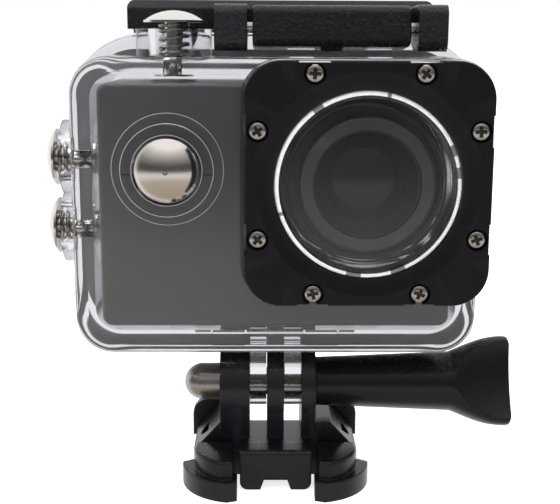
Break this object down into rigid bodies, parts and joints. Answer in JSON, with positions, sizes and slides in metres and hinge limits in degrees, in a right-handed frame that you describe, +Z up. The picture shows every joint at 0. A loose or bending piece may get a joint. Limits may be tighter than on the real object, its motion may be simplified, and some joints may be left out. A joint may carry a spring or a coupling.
{
  "type": "action camera",
  "caption": "Compact action camera sealed in a clear waterproof case with chrome push buttons and a rear door latch, tilting on a quick-release buckle.",
  "frame": {"origin": "underside of the buckle, directly below the tilt hinge", "axes": "+Z up, -Y along the lens towards the subject, +X to the thumb screw's side"},
  "size_m": [0.0822, 0.0391, 0.0836],
  "materials": {
    "clear_polycarbonate": "clear gloss moulding",
    "window_glass": "clear polished",
    "black_bezel": "semi-gloss black",
    "black_textured": "fine pebbled black",
    "black_nylon": "satin black nylon",
    "grey_shell": "smooth dark grey",
    "chrome_button": "polished chrome",
    "screw_steel": "bright steel",
    "spring_steel": "drawn wire",
    "seal_rubber": "soft silicone",
    "black_barrel": "dark grey anodised",
    "lens_glass": "coated optical glass",
    "board_green": "solder mask",
    "sensor_dark": "bare sensor",
    "battery_wrap": "plain wrap",
    "screen_dark": "dark display",
    "card_black": "moulded"
  },
  "bodies": {
    "buckle": {"buckle_base": "black_nylon", "cap_nut": "chrome_button"},
    "thumb_screw": {"thumb_screw_knob": "black_nylon", "thumb_screw_bolt": "screw_steel"},
    "finger_left": {"buckle_finger_left": "black_nylon"},
    "finger_right": {"buckle_finger_right": "black_nylon"},
    "case": {"case_body": "clear_polycarbonate", "lens_bezel": "black_bezel", "bezel_screws": "screw_steel", "lens_window": "window_glass", "window_seal": "seal_rubber", "door_hinge_pin": "screw_steel", "latch_lever_pin": "screw_steel", "power_button_spring": "spring_steel", "shutter_button_spring": "spring_steel", "up_button_spring": "spring_steel", "down_button_spring": "spring_steel", "camera_front_shell": "grey_shell", "camera_rear_shell": "grey_shell", "lens_barrel": "black_barrel", "lens_front_element": "lens_glass", "lens_rear_element": "lens_glass", "image_sensor": "sensor_dark", "main_board": "board_green", "battery": "battery_wrap", "battery_door": "grey_shell", "lcd_panel": "screen_dark", "lcd_window": "screen_dark", "speaker": "battery_wrap", "memory_card": "card_black", "camera_screws": "screw_steel"},
    "door": {"case_door": "clear_polycarbonate", "door_seal": "seal_rubber"},
    "lever": {"latch_lever": "black_textured", "latch_arm_pin": "screw_steel"},
    "arm": {"latch_arm": "black_textured"},
    "power_button": {"power_button": "chrome_button", "power_button_clip": "spring_steel"},
    "camera_power_button": {"camera_power_button": "grey_shell"},
    "shutter_button": {"shutter_button": "chrome_button", "shutter_button_clip": "spring_steel"},
    "camera_shutter_button": {"camera_shutter_button": "grey_shell"},
    "up_button": {"up_button": "chrome_button", "up_button_clip": "spring_steel"},
    "camera_up_button": {"camera_up_button": "grey_shell"},
    "down_button": {"down_button": "chrome_button", "down_button_clip": "spring_steel"},
    "camera_down_button": {"camera_down_button": "grey_shell"}
  },
  "joints": [
    {"name": "case_tilt", "type": "hinge", "parent": "buckle", "child": "case", "pos_m": [0, 0, 0.0158], "axis": [1, 0, 0], "range_deg": [-50, 50]},
    {"name": "thumb_screw_turn", "type": "hinge", "parent": "buckle", "child": "thumb_screw", "pos_m": [0.025, 0, 0.0158], "axis": [1, 0, 0], "range_deg": [0, 360]},
    {"name": "finger_left_squeeze", "type": "hinge", "parent": "buckle", "child": "finger_left", "pos_m": [-0.011, -0.0005, 0.002], "axis": [0, 0, 1], "range_deg": [0, 5], "stiffness_Nm_per_rad": 1.5},
    {"name": "finger_right_squeeze", "type": "hinge", "parent": "buckle", "child": "finger_right", "pos_m": [0.011, -0.0005, 0.002], "axis": [0, 0, -1], "range_deg": [0, 5], "stiffness_Nm_per_rad": 1.5},
    {"name": "latch_lever_lift", "type": "hinge", "parent": "case", "child": "lever", "pos_m": [0.009, 0.0005, 0.0775], "axis": [-1, 0, 0], "range_deg": [0, 110]},
    {"name": "latch_arm_swing", "type": "hinge", "parent": "lever", "child": "arm", "pos_m": [0.009, -0.00356, 0.07859], "axis": [1, 0, 0], "range_deg": [0, 275]},
    {"name": "door_open", "type": "hinge", "parent": "case", "child": "door", "pos_m": [0, 0.0165, 0.0215], "axis": [-1, 0, 0], "range_deg": [0, 85]},
    {"name": "power_button_press", "type": "slide", "parent": "case", "child": "power_button", "axis": [0, 1, 0], "range_m": [0, 0.001], "stiffness_N_per_m": 900, "springref_m": -0.0012, "deforming": ["power_button_spring"]},
    {"name": "camera_power_button_press", "type": "slide", "parent": "case", "child": "camera_power_button", "axis": [0, 1, 0], "range_m": [0, 0.00066]},
    {"name": "shutter_button_press", "type": "slide", "parent": "case", "child": "shutter_button", "axis": [0, 0, -1], "range_m": [0, 0.001], "stiffness_N_per_m": 900, "springref_m": -0.0012, "deforming": ["shutter_button_spring"]},
    {"name": "camera_shutter_button_press", "type": "slide", "parent": "case", "child": "camera_shutter_button", "axis": [0, 0, -1], "range_m": [0, 0.00066]},
    {"name": "up_button_press", "type": "slide", "parent": "case", "child": "up_button", "axis": [1, 0, 0], "range_m": [0, 0.001], "stiffness_N_per_m": 900, "springref_m": -0.0012, "deforming": ["up_button_spring"]},
    {"name": "camera_up_button_press", "type": "slide", "parent": "case", "child": "camera_up_button", "axis": [1, 0, 0], "range_m": [0, 0.00066]},
    {"name": "down_button_press", "type": "slide", "parent": "case", "child": "down_button", "axis": [1, 0, 0], "range_m": [0, 0.001], "stiffness_N_per_m": 900, "springref_m": -0.0012, "deforming": ["down_button_spring"]},
    {"name": "camera_down_button_press", "type": "slide", "parent": "case", "child": "camera_down_button", "axis": [1, 0, 0], "range_m": [0, 0.00066]}
  ],
  "couplings": [
    {"joint": "latch_arm_swing", "follows": "latch_lever_lift", "ratio": 2.5},
    {"joint": "door_open", "follows": "latch_lever_lift", "ratio": 0.77273},
    {"joint": "camera_power_button_press", "follows": "power_button_press", "ratio": 0.65},
    {"joint": "camera_shutter_button_press", "follows": "shutter_button_press", "ratio": 0.65},
    {"joint": "camera_up_button_press", "follows": "up_button_press", "ratio": 0.65},
    {"joint": "camera_down_button_press", "follows": "down_button_press", "ratio": 0.65}
  ]
}
